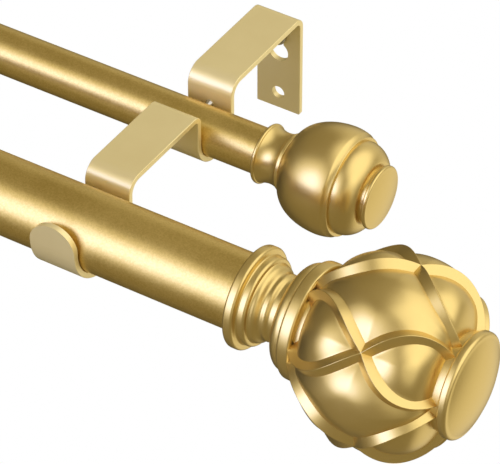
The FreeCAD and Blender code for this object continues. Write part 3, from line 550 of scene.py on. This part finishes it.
@dataclass
class BandedFinial:
    """The front pole's finial: turned neck, puffed panels under crossing bands, and a cap.

    Places are measured along the axis from the collar's inner face. Sizes across are radii.

    Args:
        side: Which end of the pole.
        axis: The pole's axis, with x at the collar's inner face.
        body: The body that it rides on.
        mirror_at: X of the plane that the left finial is mirrored across, or None.
        stud_hole: Hole for the stud in the socket's floor.
        socket: Socket that the tube sits in.
        socket_depth: Its depth.
        collar: Collar next to the tube.
        collar_end: Where the collar ends.
        collar_edge: Rounding of its first edge and of the flange's last.
        collar_heel: Rounding of its second edge.
        foot: Hollow between the collar and the ring.
        foot_end: How far past the collar it ends.
        ring: Ring next to the collar.
        ring_end: Where the ring ends.
        ring_edge: Rounding of its edge.
        ripple_pitch: Distance from ripple to ripple on the neck.
        ripple_height: Their height.
        ripples: Their number.
        fall: How much the neck narrows.
        fall_length: Over what length it narrows.
        neck_end: Where the neck ends.
        neck_radius: The neck where it is narrowest.
        neck_steps: Number of points along it.
        shoulder: Shoulder after the neck.
        shoulder_end: Where it ends.
        shoulder_drop: How much lower it starts than it ends.
        shoulder_rise: Height of its arc.
        groove: Start and end of the groove after the shoulder, past its end.
        groove_depth: How far the groove lies below the shoulder.
        flange: Flange that the ball sits on.
        flange_start: Where it starts, past the shoulder's end.
        flange_end: Where it ends.
        flange_edge: Rounding of its first edge.
        flange_rise: How much it swells in the middle.
        base_ring: Ring between the flange and the ball.
        ring_reach: How far it and the cap's ring reach in under the panels.
        ball_start: Where the panels start.
        ball_end: Where they end.
        ball_middle: Where the ball is widest.
        ball_radius: Its radius there, over the bands.
        least_share: Least value in the radius's formula, past the ends.
        neck_reach: Half length of the ellipse on the neck's side.
        neck_bluntness: Exponent there.
        cap_reach: Half length on the cap's side.
        cap_bluntness: Exponent there.
        pinch: How far the form is drawn in at each crossing.
        pinch_reach: Distance at which the pinch has faded out.
        pinch_power: How quickly it fades.
        panel_drop: How far the panels lie below the bands' ridges.
        panel_puff: How much fuller they are in the middle.
        puff_reach: Distance from the band at which they are full.
        rim_length: Over what length the panels sink at their two ends.
        rim_drop: How far they sink there.
        band_width: Width of a band at the panels.
        ridge_round: Radius of the ridge.
        ridge_steps: Number of points round the ridge.
        slope_start: Share of each slope that blends into the ridge.
        foot_share: Depth of the slopes' feet in the panels, of their height.
        keel_share: Depth of the underside, of the slopes' height.
        band_start: Where the bands leave the neck.
        band_end: Where they meet at the cap.
        crossing: Where they cross.
        neck_spread: Angle in degrees of the arc from the crossing to the neck.
        cap_spread: Angle in degrees of the arc from the crossing to the cap.
        first_turn: Turn in degrees of the first pair at the neck.
        starts: Number of pairs.
        sweep: Turn in degrees from one pair to the next.
        parting: Half of the turn in degrees between a pair's bands.
        neck_curl: How strongly a band bends towards the neck.
        cap_curl: How strongly it bends towards the cap.
        run_on: Share of its length that a band runs on at both ends.
        band_steps: Number of points along a band.
        columns: Number of points round the panels.
        rows: Number of points along them.
        cap_overlap: How far the cap's ring reaches over the panels' end.
        cap_ring: Ring under the cap.
        cap_ring_end: Where it ends and the cap starts.
        cap_radius: The cap.
        cap_end: Where the cap's rim ends.
        cap_edge: Rounding of the cap's first edge.
        cap_rim: Rounding of the edge round its face.
        cap_dome: How far the face's middle stands over its edge.
        dome_rise: Height of its arc, which keeps the middle level.
    """

    side: Side
    axis: Axis
    body: str
    mirror_at: float | None = None
    stud_hole: float = 4.05
    socket: float = 12.9
    socket_depth: float = 6.0
    collar: float = 17.0
    collar_end: float = 3.5
    collar_edge: Rounding = Rounding(0.9, 0.9, 0.26)
    collar_heel: Rounding = Rounding(0.95, 0.9, 0.24)
    foot: Rounding = Rounding(0.5, 0.5, -0.12)
    foot_end: float = 0.6
    ring: float = 14.7
    ring_end: float = 6.6
    ring_edge: Rounding = Rounding(1.1, 1.1, 0.30)
    ripple_pitch: float = 3.1
    ripple_height: float = 0.5
    ripples: int = 2
    fall: float = 2.9
    fall_length: float = 6.6
    neck_end: float = 16.8
    neck_radius: float = 10.4
    neck_steps: int = 72
    shoulder: float = 17.8
    shoulder_end: float = 20.4
    shoulder_drop: float = 1.6
    shoulder_rise: float = 0.62
    groove: tuple[float, float] = (0.05, 0.25)
    groove_depth: float = 0.25
    flange: float = 19.4
    flange_start: float = 0.28
    flange_end: float = 25.3
    flange_edge: Rounding = Rounding(1.12, 1.1, 0.34)
    flange_rise: float = 0.06
    base_ring: float = 16.8
    ring_reach: float = 2.4
    ball_start: float = 26.9
    ball_end: float = 73.6
    ball_middle: float = 49.6
    ball_radius: float = 33.2
    least_share: float = 0.05
    neck_reach: float = 30.4
    neck_bluntness: float = 2.0
    cap_reach: float = 27.6
    cap_bluntness: float = 2.4
    pinch: float = 2.6
    pinch_reach: float = 16.5
    pinch_power: float = 1.6
    panel_drop: float = 2.6
    panel_puff: float = 1.2
    puff_reach: float = 8.5
    rim_length: float = 5.5
    rim_drop: float = 3.6
    band_width: float = 4.8
    ridge_round: float = 0.16
    ridge_steps: int = 5
    slope_start: float = 0.08
    foot_share: float = 1.25
    keel_share: float = 1.8
    band_start: float = 25.0
    band_end: float = 75.2
    crossing: float = 53.0
    neck_spread: float = 53.0
    cap_spread: float = 50.0
    first_turn: float = 75.5
    starts: int = 5
    sweep: float = 72.0
    parting: float = 7.6
    neck_curl: float = 2.05
    cap_curl: float = 1.5
    run_on: float = 0.02
    band_steps: int = 140
    columns: int = 360
    rows: int = 130
    cap_overlap: float = 1.6
    cap_ring: float = 16.2
    cap_ring_end: float = 75.4
    cap_radius: float = 17.4
    cap_end: float = 78.6
    cap_edge: Rounding = Rounding(0.7, 0.7, 0.2)
    cap_rim: Rounding = Rounding(1.2, 1.3, 0.33)
    cap_dome: float = 3.5
    dome_rise: float = 0.89

    def neck_outline(self) -> np.ndarray:
        """Draws the collar, ring, rippled neck and flanges between the tube and the ball."""
        line = Turning(self.socket_depth, self.stud_hole).to(self.socket_depth, self.socket)
        line.to(0.0, self.socket).edge_up(0.0, self.collar, self.collar_edge)
        line.edge_down(self.collar_end, self.collar, self.collar_heel)
        line.edge_down(self.collar_end + self.foot_end, self.ring + self.foot.down, self.foot)
        line.edge_down(self.ring_end, self.ring, self.ring_edge).through(self.neck_places())
        line.to(self.neck_end, self.shoulder - self.shoulder_drop)
        line.bulge(self.shoulder_end, self.shoulder, self.shoulder_rise)
        for past in self.groove:
            line.to(self.shoulder_end + past, self.shoulder - self.groove_depth)
        line.edge_up(self.shoulder_end + self.flange_start, self.flange, self.flange_edge)
        line.bulge(self.flange_end - self.collar_edge.along, self.flange, self.flange_rise)
        line.edge_down(self.flange_end, self.flange, self.collar_edge)
        line.to(self.flange_end, self.base_ring).to(self.ball_start, self.base_ring)
        return line.to(self.ball_start, self.base_ring - self.ring_reach).outline()

    def neck_places(self) -> np.ndarray:
        """Draws the neck, which narrows by a square and starts with ripples of a cosine."""
        along = np.linspace(self.ring_end, self.neck_end, self.neck_steps)
        past = along - self.ring_end
        ease = np.clip(past / self.fall_length, 0, 1)
        ripple = 0.5 - 0.5 * np.cos(2 * np.pi * past / self.ripple_pitch)
        ripple *= past < self.ripples * self.ripple_pitch
        radius = self.neck_radius + self.fall * (1 - ease) ** 2 + self.ripple_height * ripple
        return np.stack([along, radius], axis=-1)

    def cap_outline(self) -> np.ndarray:
        """Draws the ring under the cap and the domed cap."""
        start = self.ball_end - self.cap_overlap
        line = Turning(start, self.cap_ring - self.ring_reach).to(start, self.cap_ring)
        line.to(self.cap_ring_end, self.cap_ring)
        line.edge_up(self.cap_ring_end, self.cap_radius, self.cap_edge)
        line.edge_down(self.cap_end, self.cap_radius, self.cap_rim)
        return line.bulge(self.cap_end + self.cap_dome, 0.0, self.dome_rise, steps=24).outline()

    def crossings(self) -> np.ndarray:
        """Returns the turns at which bands cross."""
        return np.radians(self.first_turn - self.sweep * (np.arange(self.starts) + 0.5))

    def form(self, along: np.ndarray, turn: np.ndarray) -> np.ndarray:
        """Gives the radius of the bands' ridges.

        It is an ellipse's radius, blunter on the cap's side, less a pinch that is deepest at
        each crossing and falls off with the distance from it.

        Args:
            along: Distance from the collar.
            turn: Angle round the axis.

        Returns:
            The radius.
        """
        capward = along > self.ball_middle
        blunt = np.where(capward, self.cap_bluntness, self.neck_bluntness)
        reach = np.where(capward, self.cap_reach, self.neck_reach)
        share = 1 - (np.abs(along - self.ball_middle) / reach) ** blunt
        radius = self.ball_radius * np.clip(share, self.least_share, None) ** (1 / blunt)
        gap = (turn[..., None] - self.crossings() + np.pi) % (2 * np.pi) - np.pi
        away = np.sqrt((gap * radius[..., None]) ** 2 + (along[..., None] - self.crossing) ** 2)
        near = np.clip(1 - away.min(axis=-1) / self.pinch_reach, 0, 1)
        return radius - self.pinch * near ** self.pinch_power

    def band_ways(self) -> list[tuple[int, int]]:
        """Lists the bands as the pair that each leaves from and the way it turns."""
        return [(start, way) for start in range(self.starts) for way in (1, -1)]

    def band_line(self, start: int, way: int) -> tuple[np.ndarray, np.ndarray]:
        """Gives a band's middle line from the neck to the cap.

        Along the axis it is an arc on each side of the crossing. Two bands leave the neck
        side by side, parted by twice the parting, and meet others side by side at the cap.
        The turn in between is s^c / (s^c + (1 - s)^c) of the sweep for a share s of the way,
        so it is quickest at the crossing. The curl c changes evenly from the neck to the cap.

        Args:
            start: Which pair it leaves the neck from.
            way: One to turn upwards and minus one to turn downwards.

        Returns:
            The places along the axis and the turns.
        """
        share = np.linspace(-self.run_on, 1 + self.run_on, self.band_steps)
        neckward = share < 0.5
        spread = np.radians(np.where(neckward, self.neck_spread, self.cap_spread))
        length = np.where(neckward, self.crossing - self.band_start,
                          self.band_end - self.crossing)
        along = self.crossing + length * np.sin((2 * share - 1) * spread) / np.sin(spread)
        curl = np.interp(share, [0, 1], [self.neck_curl, self.cap_curl])
        gone = np.clip(share, 0, 1) ** curl
        left = np.clip(1 - share, 0, 1) ** curl
        swept = self.parting + (self.sweep - 2 * self.parting) * gone / (gone + left)
        turn = np.radians(self.first_turn - self.sweep * start + way * swept)
        return along, turn

    def band_section(self) -> tuple[np.ndarray, np.ndarray]:
        """Draws the band's gable: two flat slopes that meet in a softened ridge.

        Returns:
            The distances to the side and the heights over the ridge line.
        """
        half, deep = self.band_width / 2, self.panel_drop
        slope = np.arctan2(deep, half)
        bend = np.linspace(-slope, slope, self.ridge_steps)
        side = self.ridge_round * np.sin(bend)
        rise = self.ridge_round * (np.cos(bend) - 1)
        after = side[-1] + (half - side[-1]) * self.slope_start
        after_rise = rise[-1] - (deep + rise[-1]) * self.slope_start
        foot, foot_rise = half * self.foot_share, -deep * self.foot_share
        keel_rise = -deep * self.keel_share
        across = np.concatenate([[0.0, -foot, -after], side, [after, foot]])
        height = np.concatenate([[keel_rise, foot_rise, after_rise], rise,
                                 [after_rise, foot_rise]])
        return across, height

    def band_grid(self, start: int, way: int) -> Grid:
        """Carries the band's section along its line, square to the ball.

        Args:
            start: Which pair it leaves the neck from.
            way: One to turn upwards and minus one to turn downwards.

        Returns:
            The band's surface, closed at both ends.
        """
        along, turn = self.band_line(start, way)
        line = self.axis.place(along, self.form(along, turn), turn)
        ahead = np.gradient(line, axis=0)
        ahead /= np.linalg.norm(ahead, axis=1, keepdims=True)
        middle = np.array([self.axis.x + self.ball_middle, self.axis.y, self.axis.z])
        across = np.cross(ahead, line - middle)
        across /= np.linalg.norm(across, axis=1, keepdims=True)
        out = np.cross(across, ahead)
        flat, rise = self.band_section()
        points = (line[:, None] + across[:, None] * flat[None, :, None]
                  + out[:, None] * rise[None, :, None])
        return Grid(points, close_ends=True)

    def band_distance(self, surface: np.ndarray) -> np.ndarray:
        """Measures how far each point of a surface is from the nearest band's line.

        Args:
            surface: Points as an array with a last axis of three.

        Returns:
            The distances.
        """
        lines = []
        for start, way in self.band_ways():
            along, turn = self.band_line(start, way)
            lines.append(self.axis.place(along, self.form(along, turn), turn))
        nearest = np.full(surface.shape[:-1], np.inf)
        for block in np.array_split(np.concatenate(lines), 2 * len(lines)):
            apart = np.linalg.norm(surface[:, :, None] - block[None, None], axis=-1)
            nearest = np.minimum(nearest, apart.min(axis=-1))
        return nearest

    def panel_grid(self) -> Grid:
        """Makes the puffed panels: the bands' form, sunk at the bands and fuller between.

        The fullness rises by a quarter of a sine with the distance from the band. At both
        ends the panels sink by a cube, under the base ring and the cap's ring.
        """
        polar = np.linspace(np.pi, 0, self.rows)
        half_length = (self.ball_end - self.ball_start) / 2
        along = (self.ball_middle + half_length * np.cos(polar))[:, None]
        turn = np.linspace(0, 2 * np.pi, self.columns, endpoint=False)[None]
        along, turn = np.broadcast_arrays(along, turn)
        form = self.form(along, turn)
        apart = self.band_distance(self.axis.place(along, form, turn)) - self.band_width / 2
        puff = self.panel_puff * np.sin(np.clip(apart / self.puff_reach, 0, 1) * np.pi / 2)
        inward = np.minimum(along - self.ball_start, self.ball_end - along)
        sink = (1 - np.clip(inward / self.rim_length, 0, 1)) ** 3
        radius = form - self.panel_drop + puff * (1 - sink) - self.rim_drop * sink
        return Grid(self.axis.place(along, radius, turn))

    def build(self) -> None:
        """Builds the turned parts, the panels and the bands, and dresses them."""
        node = f"front_finial_{self.side.value}"
        outlines = (self.neck_outline(), self.cap_outline())
        surfaces = {
            "turned": [turned(self.axis, outline) for outline in outlines],
            "panels": [self.panel_grid()],
            "bands": [self.band_grid(start, way) for start, way in self.band_ways()],
        }
        for name, grids in surfaces.items():
            piece = build_piece(f"{node}_{name}", grids, self.mirror_at)
            dress(piece, Slot.FINIAL, self.body, node)


# The turned finial

@dataclass
class TurnedFinial:
    """The rear pole's finial: collar, hollow neck, rim, round bulb, tier and button.

    Places are measured along the axis from the collar's inner face. Sizes across are radii.

    Args:
        side: Which end of the pole.
        axis: The pole's axis, with x at the collar's inner face.
        body: The body that it rides on.
        mirror_at: X of the plane that the left finial is mirrored across, or None.
        stud_hole: Hole for the stud in the socket's floor.
        socket: Socket that the tube sits in.
        socket_depth: Its depth.
        collar: Collar next to the tube.
        collar_edge: Rounding of its edges, which meet in its middle.
        neck_end: Where the hollow neck ends.
        neck_foot: The neck's radius there.
        neck_rise: Height of the neck's arc, negative because it is hollow.
        rim: Rim before the bulb.
        rim_start: Rounding of its first edge.
        rim_edge: Rounding of its second edge.
        rim_end: Where the seat after the rim ends.
        seat: That seat.
        seat_length: Its length.
        seat_slant: How far the rim's face slants towards it.
        bulb_start: The bulb where it starts.
        bulb: The bulb where it is widest.
        widest: Where that is.
        bulb_steps: Number of points along its first half.
        waist: The bulb past there, as length, end radius and height of arc.
        lip: The step's flared lip, as its radius and the height of its arc.
        step: Where the step is.
        step_edge: Rounding of the step's edge.
        tier: The tier where it starts.
        tier_foot: The tier where it ends.
        tier_end: Where that is.
        tier_rise: Height of its arc.
        hollow: Groove between the tier and the button.
        hollow_length: Its length.
        button: The button.
        button_length: From the tier's end to its face.
        button_edge: Rounding of its first edge.
        button_rim: Rounding of the edge round its face.
        dome: How far the face's middle stands over its edge.
        dome_rise: Height of its arc, which keeps the middle level.
    """

    side: Side
    axis: Axis
    body: str
    mirror_at: float | None = None
    stud_hole: float = 3.05
    socket: float = 8.15
    socket_depth: float = 5.0
    collar: float = 10.3
    collar_edge: Rounding = Rounding(0.7, 0.5, 0.16)
    neck_end: float = 8.6
    neck_foot: float = 9.6
    neck_rise: float = -0.85
    rim: float = 10.0
    rim_start: Rounding = Rounding(0.9, 0.4, 0.16)
    rim_edge: Rounding = Rounding(0.3, 0.3, 0.08)
    rim_end: float = 10.8
    seat: float = 9.45
    seat_length: float = 0.4
    seat_slant: float = 0.05
    bulb_start: float = 9.6
    bulb: float = 18.5
    widest: float = 26.6
    bulb_steps: int = 39
    waist: tuple[float, float, float] = (4.4, 17.8, 0.15)
    lip: tuple[float, float] = (17.0, -0.10)
    step: float = 32.6
    step_edge: Rounding = Rounding(0.3, 0.35, 0.09)
    tier: float = 15.9
    tier_foot: float = 11.0
    tier_end: float = 40.3
    tier_rise: float = 1.35
    hollow: float = 9.6
    hollow_length: float = 1.5
    button: float = 10.8
    button_length: float = 3.1
    button_edge: Rounding = Rounding(0.6, 0.6, 0.17)
    button_rim: Rounding = Rounding(0.6, 0.7, 0.18)
    dome: float = 1.2
    dome_rise: float = 0.30

    def outline(self) -> np.ndarray:
        """Draws half of the finial from the tube to the button's tip."""
        line = Turning(self.socket_depth, self.stud_hole).to(self.socket_depth, self.socket)
        line.to(0.0, self.socket).edge_up(0.0, self.collar, self.collar_edge)
        line.edge_down(2 * self.collar_edge.along, self.collar, self.collar_edge)
        line.bulge(self.neck_end, self.neck_foot, self.neck_rise, steps=20)
        line.edge_up(self.neck_end, self.rim, self.rim_start)
        rim_face = self.rim_end - self.seat_length - self.seat_slant
        line.edge_down(rim_face, self.rim, self.rim_edge)
        line.to(rim_face + self.seat_slant, self.seat).to(self.rim_end, self.seat)
        line.through(self.bulb_places())
        length, radius, rise = self.waist
        line.bulge(self.widest + length, radius, rise).bulge(self.step, *self.lip)
        face = self.step + self.step_edge.along
        line.edge_down(face, self.lip[0], self.step_edge).to(face, self.tier)
        line.bulge(self.tier_end, self.tier_foot, self.tier_rise, steps=20)
        line.to(self.tier_end, self.hollow)
        button_start = self.tier_end + self.hollow_length
        line.to(button_start, self.hollow).edge_up(button_start, self.button, self.button_edge)
        tip = self.tier_end + self.button_length
        line.edge_down(tip, self.button, self.button_rim)
        return line.bulge(tip + self.dome, 0.0, self.dome_rise, steps=16).outline()

    def bulb_places(self) -> np.ndarray:
        """Draws the bulb from its seat to its widest place as a quarter of an ellipse."""
        turn = np.linspace(0.0, np.pi / 2, self.bulb_steps + 1)[1:]
        along = self.rim_end + (self.widest - self.rim_end) * (1 - np.cos(turn))
        radius = self.bulb_start + (self.bulb - self.bulb_start) * np.sin(turn)
        return np.stack([along, radius], axis=-1)

    def build(self) -> None:
        """Builds the finial in one piece and dresses it."""
        node = f"rear_finial_{self.side.value}"
        piece = build_piece(f"{node}_turned", [turned(self.axis, self.outline())],
                            self.mirror_at)
        dress(piece, Slot.FINIAL, self.body, node)


# Studio

@dataclass(frozen=True)
class Camera:
    """The camera that took the photograph, worked out from the bracket's edges.

    Args:
        turn: Angle in degrees from the room's direction towards the right end.
        height: Angle in degrees above the horizon.
        distance: From the aim point, in millimetres.
        scale: Pixels to a millimetre at the aim point.
        aim: The arm's corner at the wall, which the camera was set out from.
        place: Where that corner is in the picture.
        frame: Width and height of the picture.
        sensor: Width of the camera's sensor.
        clip: Nearest and furthest distance that it sees, in metres.
    """

    turn: float = 32.2
    height: float = 39.85
    distance: float = 1200.0
    scale: float = 2.98
    aim: tuple[float, float, float] = (-8.5, 0.0, 34.2)
    place: tuple[float, float] = (260.3, 0.0)
    frame: tuple[int, int] = (500, 464)
    sensor: float = 36.0
    clip: tuple[float, float] = (0.05, 100.0)

    def build(self) -> None:
        """Makes the camera and hands it to the scene."""
        turn, height = np.radians(self.turn), np.radians(self.height)
        right = np.array([np.cos(turn), np.sin(turn), 0.0])
        level = np.array([np.sin(turn), -np.cos(turn), 0.0])
        above = np.array([0.0, 0.0, 1.0])
        up = above * np.cos(height) - level * np.sin(height)
        back = above * np.sin(height) + level * np.cos(height)
        sideways = (self.place[0] - self.frame[0] / 2) / self.scale
        upwards = (self.place[1] - self.frame[1] / 2) / self.scale
        spot = np.array(self.aim) + back * self.distance - right * sideways + up * upwards
        data = bpy.data.cameras.new("camera")
        data.sensor_width = self.sensor
        data.lens = self.distance * self.scale / self.frame[0] * self.sensor
        data.clip_start, data.clip_end = self.clip
        camera = bpy.data.objects.new("camera", data)
        stance = Matrix((right, up, back)).transposed().to_4x4()
        camera.matrix_world = Matrix.Translation(Vector(spot * MM)) @ stance
        bpy.context.scene.collection.objects.link(camera)
        bpy.context.scene.camera = camera


@dataclass(frozen=True)
class Glow:
    """A soft patch of light on the inside of the studio.

    Args:
        towards: Direction from the object to the patch's middle.
        inner: Angle in degrees from the middle at which the patch starts to fade.
        outer: Angle in degrees at which it has faded out.
        strength: Its brightness, negative for a darker patch.
        tint: Its colour.
    """

    towards: tuple[float, float, float]
    inner: float
    outer: float
    strength: float
    tint: tuple[float, float, float] = (1.0, 1.0, 1.0)

    def add(self, tree: bpy.types.NodeTree, ray: bpy.types.NodeSocket,
            total: bpy.types.NodeSocket) -> bpy.types.NodeSocket:
        """Adds the patch to the light that comes from each direction.

        Args:
            tree: The world's node tree.
            ray: The direction looked at.
            total: The light so far.

        Returns:
            The light with the patch.
        """
        near = tree.nodes.new("ShaderNodeVectorMath")
        near.operation = "DOT_PRODUCT"
        tree.links.new(ray, near.inputs[0])
        near.inputs[1].default_value = Vector(self.towards).normalized()
        fade = tree.nodes.new("ShaderNodeMapRange")
        fade.interpolation_type = "SMOOTHERSTEP"
        fade.inputs["From Min"].default_value = float(np.cos(np.radians(self.outer)))
        fade.inputs["From Max"].default_value = float(np.cos(np.radians(self.inner)))
        fade.inputs["To Max"].default_value = self.strength
        tree.links.new(near.outputs["Value"], fade.inputs["Value"])
        lit = tree.nodes.new("ShaderNodeVectorMath")
        lit.operation = "SCALE"
        lit.inputs[0].default_value = self.tint
        tree.links.new(fade.outputs["Result"], lit.inputs["Scale"])
        both = tree.nodes.new("ShaderNodeVectorMath")
        both.operation = "ADD"
        tree.links.new(total, both.inputs[0])
        tree.links.new(lit.outputs[0], both.inputs[1])
        return both.outputs[0]


GLOWS = [
    Glow((-0.38, -0.90, 0.42), 6.0, 50.0, 1.0, (1.0, 1.0, 0.95)),
    Glow((-0.38, -0.90, 0.34), 2.0, 29.0, 1.3, (0.70, 0.92, 2.7)),
    Glow((0.83, -0.49, 0.26), 4.0, 36.0, 0.6),
    Glow((0.60, 0.25, 0.75), 20.0, 56.0, 1.2),
    Glow((0.50, 0.60, -0.62), 5.0, 44.0, 0.66, (1.0, 0.97, 0.85)),
    Glow((0.00, 0.97, 0.22), 5.0, 42.0, 0.42, (1.0, 1.0, 0.95)),
    Glow((-0.70, 0.45, -0.55), 12.0, 60.0, -0.17, (1.0, 0.83, 0.46)),
    Glow((-1.00, 0.05, 0.00), 10.0, 46.0, -0.10, (1.0, 0.85, 0.50)),
]


@dataclass(frozen=True)
class Studio:
    """The pale room: world, floor and colour view.

    Args:
        seen: Brightness of the backdrop and floor as the camera sees them.
        dim: Colour of the room's unlit parts in reflections.
        floor_drop: How far the floor lies below the poles, in metres.
        floor_size: Half of the floor's width, in metres.
    """

    seen: float = 1.0
    dim: tuple[float, float, float] = (0.265, 0.22, 0.118)
    floor_drop: float = 1.6
    floor_size: float = 40.0

    def build_world(self) -> None:
        """Makes a white backdrop, and soft patches of light that only reflections see."""
        world = bpy.data.worlds.new("studio")
        bpy.context.scene.world = world
        world.use_nodes = True
        tree = world.node_tree
        background = tree.nodes["Background"]
        ray = tree.nodes.new("ShaderNodeTexCoord").outputs["Generated"]
        base = tree.nodes.new("ShaderNodeCombineXYZ")
        for socket, value in zip(base.inputs, self.dim):
            socket.default_value = value
        total = base.outputs[0]
        for glow in GLOWS:
            total = glow.add(tree, ray, total)
        path = tree.nodes.new("ShaderNodeLightPath")
        choose = tree.nodes.new("ShaderNodeMix")
        choose.data_type = "RGBA"
        tree.links.new(path.outputs["Is Camera Ray"], choose.inputs["Factor"])
        tree.links.new(total, choose.inputs["A"])
        choose.inputs["B"].default_value = (self.seen, self.seen, self.seen, 1.0)
        tree.links.new(choose.outputs["Result"], background.inputs["Color"])

    def build_floor(self) -> None:
        """Makes the wide pale floor, well below the poles."""
        size, drop = self.floor_size, -self.floor_drop
        mesh = bpy.data.meshes.new("floor")
        corners = [(-size, -size, drop), (size, -size, drop), (size, size, drop),
                   (-size, size, drop)]
        mesh.from_pydata(corners, [], [(0, 1, 2, 3)])
        floor = bpy.data.objects.new("floor", mesh)
        bpy.context.scene.collection.objects.link(floor)
        material = bpy.data.materials.new("floor")
        material.use_nodes = True
        tree = material.node_tree
        tree.nodes.remove(tree.nodes["Principled BSDF"])
        glow = tree.nodes.new("ShaderNodeEmission")
        glow.inputs["Strength"].default_value = self.seen
        tree.links.new(glow.outputs[0], tree.nodes["Material Output"].inputs["Surface"])
        mesh.materials.append(material)
        floor.visible_diffuse = False
        floor.visible_glossy = False

    def build(self) -> None:
        """Builds the room and sets the colour view."""
        self.build_world()
        self.build_floor()
        bpy.context.scene.view_settings.view_transform = "Standard"


BRACKET_SPACING = 559.0
MIDDLE = -BRACKET_SPACING / 2
FRONT_AXIS = Axis(63.5, -120.46, 24.44)
REAR_AXIS = Axis(28.0, -54.64, 20.93)


def main() -> None:
    """Builds the camera, the studio and every piece in order."""
    logging.basicConfig(level=logging.INFO, format="%(message)s")
    Camera().build()
    Studio().build()
    dress_nodes()
    BandedFinial(Side.RIGHT, FRONT_AXIS, "mounted_poles").build()
    BandedFinial(Side.LEFT, FRONT_AXIS, "front_inner_pole", MIDDLE).build()
    TurnedFinial(Side.RIGHT, REAR_AXIS, "mounted_poles").build()
    TurnedFinial(Side.LEFT, REAR_AXIS, "rear_inner_pole", MIDDLE).build()


if __name__ == "__main__":
    main()
